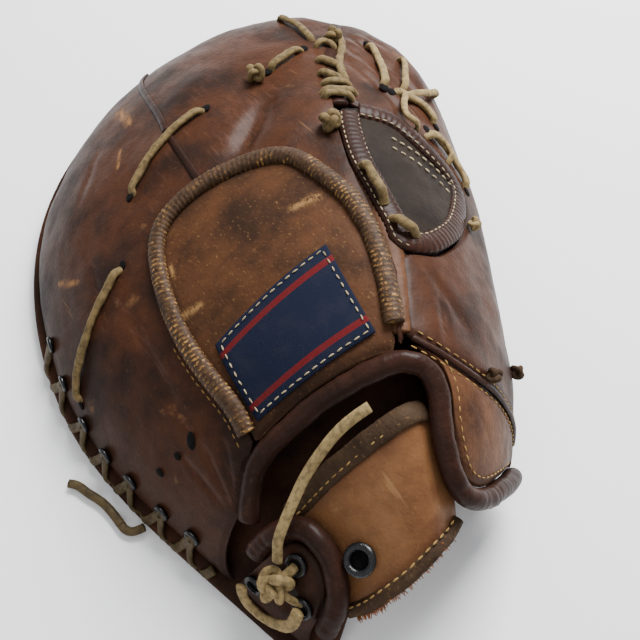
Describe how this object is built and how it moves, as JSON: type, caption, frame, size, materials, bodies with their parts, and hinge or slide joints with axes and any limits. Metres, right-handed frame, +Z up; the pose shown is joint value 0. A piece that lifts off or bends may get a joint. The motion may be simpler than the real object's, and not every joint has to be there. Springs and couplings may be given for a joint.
{
  "type": "baseball glove",
  "caption": "Worn leather first base mitt for the left hand, lying palm down, with laced rim and web, hand panel with a thick welt, and a wrist strap.",
  "frame": {"origin": "The middle of the box of the mitt on the table plane it lies on, measured without the two free lace ends.", "axes": "+Y runs from the wrist to the tips of the lobes, +X runs towards the thumb, +Z points up out of the back of the mitt."},
  "size_m": [0.2672, 0.3145, 0.0965],
  "materials": {
    "finger_leather": "oiled, worn satin",
    "panel_leather": "worn satin",
    "palm_leather": "dark, satin",
    "web_leather": "dark, matt",
    "strap_leather": "tan, worn satin",
    "binding_leather": "dark, glossy",
    "welt_leather": "worn, ribbed, matt",
    "lace_rawhide": "dry rawhide, matt",
    "label_fabric": "woven, worn",
    "eyelet_metal": "glossy black"
  },
  "bodies": {
    "root": {"palm": "palm_leather", "finger_back": "finger_leather", "hand_panel": "panel_leather", "thumb_back": "finger_leather", "thumb_heel": "panel_leather", "web": "web_leather", "wrist_tab": "finger_leather", "wrist_strap": "strap_leather", "label": "label_fabric", "panel_welt": "welt_leather", "web_border": "welt_leather", "opening_binding": "binding_leather", "tab_binding": "binding_leather", "strap_binding_top": "binding_leather", "strap_binding_lower": "binding_leather", "thumb_seam_welt": "binding_leather", "back_strip_upper": "binding_leather", "back_strip_lower": "binding_leather", "thumb_knot_inner": "binding_leather", "thumb_knot_outer": "binding_leather", "back_lace_upper": "lace_rawhide", "back_lace_lower": "lace_rawhide", "index_lace": "lace_rawhide", "web_lace_upper": "lace_rawhide", "web_lace_lower": "lace_rawhide", "tip_lace_upper": "lace_rawhide", "tip_lace_lower": "lace_rawhide", "thumb_lace_long": "lace_rawhide", "thumb_lace_cross": "lace_rawhide", "thumb_lace_short": "lace_rawhide", "finger_knot": "lace_rawhide", "web_knot": "lace_rawhide", "tip_knot": "lace_rawhide", "tie_knot": "lace_rawhide", "tie_loop": "lace_rawhide", "tie_lace_end": "lace_rawhide", "rim_lace": "lace_rawhide", "rim_lace_end": "lace_rawhide", "rim_eyelet_01": "eyelet_metal", "rim_eyelet_02": "eyelet_metal", "rim_eyelet_03": "eyelet_metal", "rim_eyelet_04": "eyelet_metal", "rim_eyelet_05": "eyelet_metal", "rim_eyelet_06": "eyelet_metal", "rim_eyelet_07": "eyelet_metal", "tab_eyelet_01": "eyelet_metal", "tab_eyelet_02": "eyelet_metal", "tab_eyelet_03": "eyelet_metal", "strap_eyelet": "eyelet_metal"}
  },
  "joints": []
}
